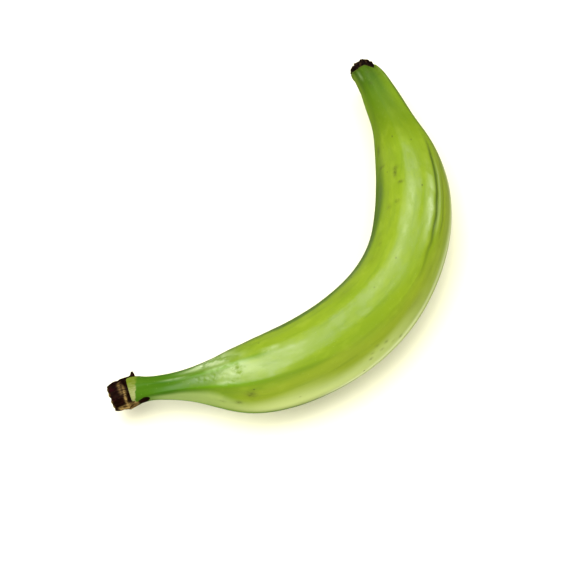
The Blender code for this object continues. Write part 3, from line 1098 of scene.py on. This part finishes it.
class PlantainEndsLook(bpy.types.PropertyGroup):
    """Sizes and colours of the stub, the withered flower and the fibres."""
    around: number("Points round", "Points of the mesh round the stub", 216, 48, 240,
                   kind=bpy.props.IntProperty)
    scrap_thickness: number("Scrap thickness", "Half thickness of a dried scrap, in mm", 0.22,
                            0.05, 0.6)
    crown_dark: tint("Crown", "Dried crown", "0c0201")
    # Red brown fibre streaks, partly painted glints.
    crown_red_and_glint: tint("Crown fibre", "Red brown fibres of the crown", "1c0a04")
    # Tan of worn fibre; on the collar's raised edge it is also painted highlight.
    crown_tan: tint("Worn crown", "Fibre laid bare where the crown is worn", "8f7645")
    flower_dark: tint("Flower", "Withered flower", "070202")
    # Browner scraps, partly painted glints.
    flower_brown_and_glint: tint("Flower scraps", "Browner scraps of the flower", "1c0e06")


class PlantainStudio(bpy.types.PropertyGroup):
    """Camera, light and floor."""
    lens: number("Lens", "Focal length on a sensor 36 mm wide, in mm", 85.0, 20.0, 200.0)
    away: number("Distance", "From the camera to the point it looks at", 0.7308, 0.2, 5.0,
                 unit="LENGTH")
    azimuth: number("Azimuth", "The camera's turn from the front", math.radians(-56.7),
                    -math.pi, math.pi, subtype="ANGLE")
    elevation: number("Elevation", "The camera's height as an angle", math.radians(68.0),
                      -math.pi / 2, math.pi / 2, subtype="ANGLE")
    light: number("Light", "Strength of all the studio lights together", 1.0, 0.0, 10.0)
    fill: number("Fill", "Brightness of the room all round", 0.2, 0.0, 2.0)
    floor: tint("Floor", "Colour of the table top", (0.80, 0.775, 0.58, 1.0))


# ---------------------------------------------------------------- the operators

class PLANTAIN_OT_peel(bpy.types.Operator):
    """Adds the waxy green peel, from the cut lip to the rim at the tip"""
    bl_idname = "plantain.peel"
    bl_label = "Add peel"

    def execute(self, context):
        look = context.scene.plantain_peel
        made("peel", [shell(*peel_surface(look))], green_plantain_peel(look))
        return {"FINISHED"}


class PLANTAIN_OT_crown(bpy.types.Operator):
    """Adds the cut crown stub with its tongue along the neck, and its loose fibres"""
    bl_idname = "plantain.crown"
    bl_label = "Add crown stub"

    def execute(self, context):
        look = context.scene.plantain_ends
        wood = dried_crown_wood(look)
        made("crown_stub", [shell(*stub_surface(look))], wood)
        made("crown_fibres", [shell(*strip(row, 0.16, 8)) for row in FIBRES], wood)
        return {"FINISHED"}


class PLANTAIN_OT_flower(bpy.types.Operator):
    """Adds the withered flower at the tip: a crumpled lump with dried scraps round it"""
    bl_idname = "plantain.flower"
    bl_label = "Add withered flower"

    def execute(self, context):
        look = context.scene.plantain_ends
        scraps = [shell(*strip(row, look.scrap_thickness)) for row in SCRAPS]
        made("flower_remains", [shell(*flower_surface())] + scraps, withered_flower(look))
        return {"FINISHED"}


# The point the camera looks at, in metres, and half the table top's width.
CAMERA_AIM = Vector((-0.01474, 0.00856, 0.020))
FLOOR_HALF = 4.0

# Broad studio lights: name, turn from +X and height above the table (degrees), width as seen
# from the fruit (degrees), strength, and whether glossy surfaces mirror it.
LIGHTS = (
    ("broad_window", 30, 60, 58, 2.1, True),
    ("left_softbox", 121, 58, 56, 3.4, True),
    ("far_strip", -27, 40, 18, 0.5, True),
    ("front_card", -125, 22, 80, 2.3, False),
)

# The room's tint, how bright the camera sees it, the table top's own faint glow, and its
# grain, about 4 mm across (per metre).
ROOM_TINT = (1.0, 0.97, 0.84, 1.0)
ROOM_SEEN = 1.3
TABLE_GLOW = {"Emission_Color": (1.0, 0.96, 0.80, 1.0), "Emission_Strength": 0.15}
TABLE_GRAIN = 260.0


def towards(turned, raised):
    """The direction at an angle from +X round the fruit and at a height above the table."""
    return Vector((math.cos(turned) * math.cos(raised), math.sin(turned) * math.cos(raised),
                   math.sin(raised)))


def table_top(colour):
    """White laminate table top, pressed: matt, with a faint grain that keeps it from being one
    flat tone."""
    material, put, into = blank("white_laminate_matt", Roughness=0.9, IOR=1.2, **TABLE_GLOW)
    place = put("TexCoord", output="Object")
    grain = put("TexNoise", {"Vector": place, "Scale": TABLE_GRAIN, "Detail": 2.0})
    darker = tuple(0.985 * part for part in colour[:3]) + (1.0,)
    into("Base Color", put("Mix", {AMOUNT: grain, BELOW: tuple(colour), ABOVE: darker}, **MIXED))
    return material


class PLANTAIN_OT_stage(bpy.types.Operator):
    """Sets the table top, the lights, the room and the camera"""
    bl_idname = "plantain.stage"
    bl_label = "Set the stage"

    def execute(self, context):
        studio, scene = context.scene.plantain_studio, context.scene
        half = FLOOR_HALF
        mesh = bpy.data.meshes.new("table_top")
        mesh.from_pydata([(-half, -half, 0), (half, -half, 0), (half, half, 0),
                          (-half, half, 0)], [], [(0, 1, 2, 3)])
        mesh.materials.append(table_top(studio.floor))
        table = linked("table_top", mesh)
        table.visible_glossy = False
        for name, turned, raised, width, strength, mirrored in LIGHTS:
            sun = bpy.data.lights.new(name, "SUN")
            sun.energy, sun.angle = strength * studio.light, math.radians(width)
            light = linked(name, sun)
            light.visible_glossy = mirrored
            light.rotation_euler = towards(math.radians(turned), math.radians(raised)
                                           ).to_track_quat("Z", "Y").to_euler()
        room = bpy.data.worlds.new("room")
        room.use_nodes = True
        tree = room.node_tree
        ground = tree.nodes["Background"]
        seen = add(tree, "LightPath", output="Is Camera Ray")
        strength = add(tree, "MapRange", (seen, 0.0, 1.0, studio.fill, ROOM_SEEN))
        ground.inputs["Color"].default_value = ROOM_TINT
        tree.links.new(strength, ground.inputs["Strength"])
        scene.world = room
        lens = bpy.data.cameras.new("camera")
        lens.lens, lens.sensor_width = studio.lens, 36.0
        lens.clip_start, lens.clip_end = 0.01, 50.0
        camera = linked("camera", lens)
        back = towards(studio.azimuth - math.pi / 2, studio.elevation)
        camera.location = CAMERA_AIM + back * studio.away
        camera.rotation_euler = back.to_track_quat("Z", "Y").to_euler()
        scene.camera = camera
        scene.view_settings.view_transform = "Standard"
        return {"FINISHED"}


class PLANTAIN_PT_panel(bpy.types.Panel):
    """The plantain's pieces and what may be changed on them"""
    bl_label = "Plantain"
    bl_idname = "PLANTAIN_PT_panel"
    bl_space_type = "VIEW_3D"
    bl_region_type = "UI"
    bl_category = "Plantain"

    def draw(self, context):
        for operators, group in PIECES:
            look = getattr(context.scene, group)
            box = self.layout.box()
            for operator in operators:
                box.operator(operator.bl_idname)
            for key in look.__annotations__:
                box.prop(look, key)


PIECES = (
    ((PLANTAIN_OT_peel,), "plantain_peel"),
    ((PLANTAIN_OT_crown, PLANTAIN_OT_flower), "plantain_ends"),
    ((PLANTAIN_OT_stage,), "plantain_studio"),
)
GROUPS = {
    "plantain_peel": PlantainPeelLook,
    "plantain_ends": PlantainEndsLook,
    "plantain_studio": PlantainStudio,
}
CLASSES = tuple(GROUPS.values()) + (
    PLANTAIN_OT_peel, PLANTAIN_OT_crown, PLANTAIN_OT_flower, PLANTAIN_OT_stage,
    PLANTAIN_PT_panel)


def register():
    """Makes the classes and their settings known to Blender."""
    for kind in CLASSES:
        bpy.utils.register_class(kind)
    for key, group in GROUPS.items():
        setattr(bpy.types.Scene, key, bpy.props.PointerProperty(type=group))


def unregister():
    """Takes the classes and their settings out again."""
    for key in GROUPS:
        delattr(bpy.types.Scene, key)
    for kind in reversed(CLASSES):
        bpy.utils.unregister_class(kind)


def main():
    """Builds every piece and the stage."""
    register()
    bpy.ops.plantain.peel()
    bpy.ops.plantain.crown()
    bpy.ops.plantain.flower()
    bpy.ops.plantain.stage()


if __name__ == "__main__":
    main()
